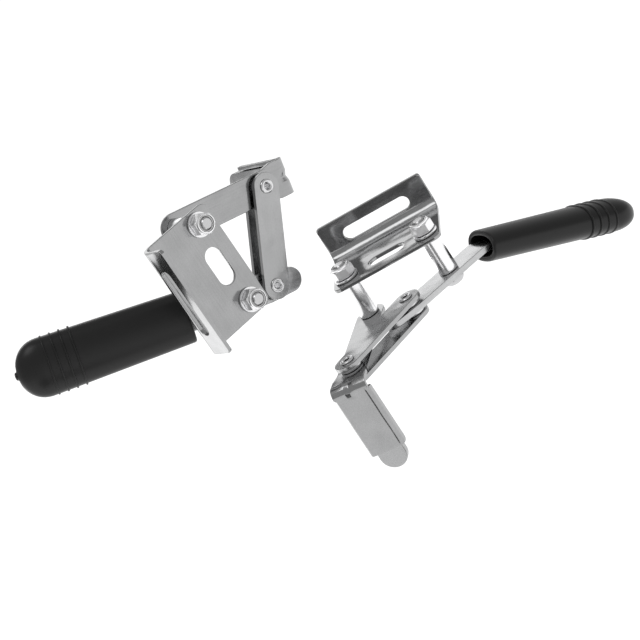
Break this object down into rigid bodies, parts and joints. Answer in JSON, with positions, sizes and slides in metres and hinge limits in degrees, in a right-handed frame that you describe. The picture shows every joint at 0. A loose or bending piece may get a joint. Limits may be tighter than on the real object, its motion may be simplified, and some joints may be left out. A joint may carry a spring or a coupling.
{
  "type": "tile cutter rail clamp pair",
  "caption": "Mirrored pair of toggle clamps that fix a tile cutter's guide rail to a slab: slotted L brackets, hooked arms, link plates and cranked levers with ribbed black grips.",
  "frame": {"origin": "on the left bracket's rail face, midway along it and between its long slot and its free edge", "axes": "-Z along the left bracket from its arm bolt to its lever bolt, +X from the rail face towards the arm's foot, +Y along the bolts away from the nuts"},
  "size_m": [0.3565, 0.1702, 0.1912],
  "materials": {
    "left_bracket": "bright zinc plate",
    "left_arm_bolt": "bright zinc plate",
    "left_arm_sleeve": "bright zinc plate",
    "left_arm_washer": "bright zinc plate",
    "left_arm_nut": "bright zinc plate",
    "left_arm_nut_insert": "pale nylon",
    "left_lever_bolt": "bright zinc plate",
    "left_lever_sleeve": "bright zinc plate",
    "left_lever_washer": "bright zinc plate",
    "left_lever_nut": "bright zinc plate",
    "left_lever_nut_insert": "pale nylon",
    "left_lever_bar": "bright zinc plate",
    "left_grip": "satin black rubber",
    "left_arm": "bright zinc plate",
    "left_foot_insert": "bright zinc plate",
    "left_front_link": "bright zinc plate",
    "left_rear_link": "bright zinc plate",
    "left_lever_rivet": "bright zinc plate",
    "left_lever_front_spacer": "bright zinc plate",
    "left_lever_rear_spacer": "bright zinc plate",
    "left_arm_rivet": "bright zinc plate",
    "left_arm_front_spacer": "bright zinc plate",
    "left_arm_rear_spacer": "bright zinc plate",
    "right_bracket": "bright zinc plate",
    "right_arm_bolt": "bright zinc plate",
    "right_arm_sleeve": "bright zinc plate",
    "right_arm_washer": "bright zinc plate",
    "right_arm_nut": "bright zinc plate",
    "right_arm_nut_insert": "pale nylon",
    "right_lever_bolt": "bright zinc plate",
    "right_lever_sleeve": "bright zinc plate",
    "right_lever_washer": "bright zinc plate",
    "right_lever_nut": "bright zinc plate",
    "right_lever_nut_insert": "pale nylon",
    "right_lever_bar": "bright zinc plate",
    "right_grip": "satin black rubber",
    "right_arm": "bright zinc plate",
    "right_foot_insert": "bright zinc plate",
    "right_front_link": "bright zinc plate",
    "right_rear_link": "bright zinc plate",
    "right_lever_rivet": "bright zinc plate",
    "right_lever_front_spacer": "bright zinc plate",
    "right_lever_rear_spacer": "bright zinc plate",
    "right_arm_rivet": "bright zinc plate",
    "right_arm_front_spacer": "bright zinc plate",
    "right_arm_rear_spacer": "bright zinc plate"
  },
  "bodies": {
    "brackets": {"left_bracket": "left_bracket", "left_arm_bolt": "left_arm_bolt", "left_arm_sleeve": "left_arm_sleeve", "left_arm_washer": "left_arm_washer", "left_arm_nut": "left_arm_nut", "left_arm_nut_insert": "left_arm_nut_insert", "left_lever_bolt": "left_lever_bolt", "left_lever_sleeve": "left_lever_sleeve", "left_lever_washer": "left_lever_washer", "left_lever_nut": "left_lever_nut", "left_lever_nut_insert": "left_lever_nut_insert", "right_bracket": "right_bracket", "right_arm_bolt": "right_arm_bolt", "right_arm_sleeve": "right_arm_sleeve", "right_arm_washer": "right_arm_washer", "right_arm_nut": "right_arm_nut", "right_arm_nut_insert": "right_arm_nut_insert", "right_lever_bolt": "right_lever_bolt", "right_lever_sleeve": "right_lever_sleeve", "right_lever_washer": "right_lever_washer", "right_lever_nut": "right_lever_nut", "right_lever_nut_insert": "right_lever_nut_insert"},
    "left_lever": {"left_lever_bar": "left_lever_bar", "left_grip": "left_grip"},
    "left_arm_body": {"left_arm": "left_arm", "left_foot_insert": "left_foot_insert"},
    "left_links": {"left_front_link": "left_front_link", "left_rear_link": "left_rear_link", "left_lever_rivet": "left_lever_rivet", "left_lever_front_spacer": "left_lever_front_spacer", "left_lever_rear_spacer": "left_lever_rear_spacer", "left_arm_rivet": "left_arm_rivet", "left_arm_front_spacer": "left_arm_front_spacer", "left_arm_rear_spacer": "left_arm_rear_spacer"},
    "right_lever": {"right_lever_bar": "right_lever_bar", "right_grip": "right_grip"},
    "right_arm_body": {"right_arm": "right_arm", "right_foot_insert": "right_foot_insert"},
    "right_links": {"right_front_link": "right_front_link", "right_rear_link": "right_rear_link", "right_lever_rivet": "right_lever_rivet", "right_lever_front_spacer": "right_lever_front_spacer", "right_lever_rear_spacer": "right_lever_rear_spacer", "right_arm_rivet": "right_arm_rivet", "right_arm_front_spacer": "right_arm_front_spacer", "right_arm_rear_spacer": "right_arm_rear_spacer"}
  },
  "joints": [
    {"name": "left_lever_pivot", "type": "hinge", "parent": "brackets", "child": "left_lever", "pos_m": [0.043, 0.05, -0.0285], "axis": [0, -1, 0], "range_deg": [-30, 30]},
    {"name": "left_arm_pivot", "type": "hinge", "parent": "brackets", "child": "left_arm_body", "pos_m": [0.043, 0.04925, 0.0285], "axis": [0, -1, 0], "range_deg": [-16.45, 16.45]},
    {"name": "left_link_pivot", "type": "hinge", "parent": "left_lever", "child": "left_links", "pos_m": [0.07589, 0.05, -0.04047], "axis": [0, -1, 0], "range_deg": [-28.48, 28.48]},
    {"name": "right_lever_pivot", "type": "hinge", "parent": "brackets", "child": "right_lever", "pos_m": [0.14565, -0.02529, -0.08886], "axis": [0.0103, 0.0489, -0.9987], "range_deg": [-40, 0]},
    {"name": "right_arm_pivot", "type": "hinge", "parent": "brackets", "child": "right_arm_body", "pos_m": [0.1027, 0.01213, -0.08671], "axis": [0.0103, 0.0489, -0.9987], "range_deg": [-6.11, 0.5]},
    {"name": "right_link_pivot", "type": "hinge", "parent": "right_lever", "child": "right_links", "pos_m": [0.11085, -0.02154, -0.08903], "axis": [0.0103, 0.0489, -0.9987], "range_deg": [-0.5, 57.34]}
  ],
  "couplings": [
    {"joint": "left_arm_pivot", "follows": "left_lever_pivot", "ratio": 0.5317},
    {"joint": "left_link_pivot", "follows": "left_lever_pivot", "ratio": -0.9328},
    {"joint": "right_arm_pivot", "follows": "right_lever_pivot", "ratio": 0.1402},
    {"joint": "right_link_pivot", "follows": "right_lever_pivot", "ratio": -1.421}
  ]
}
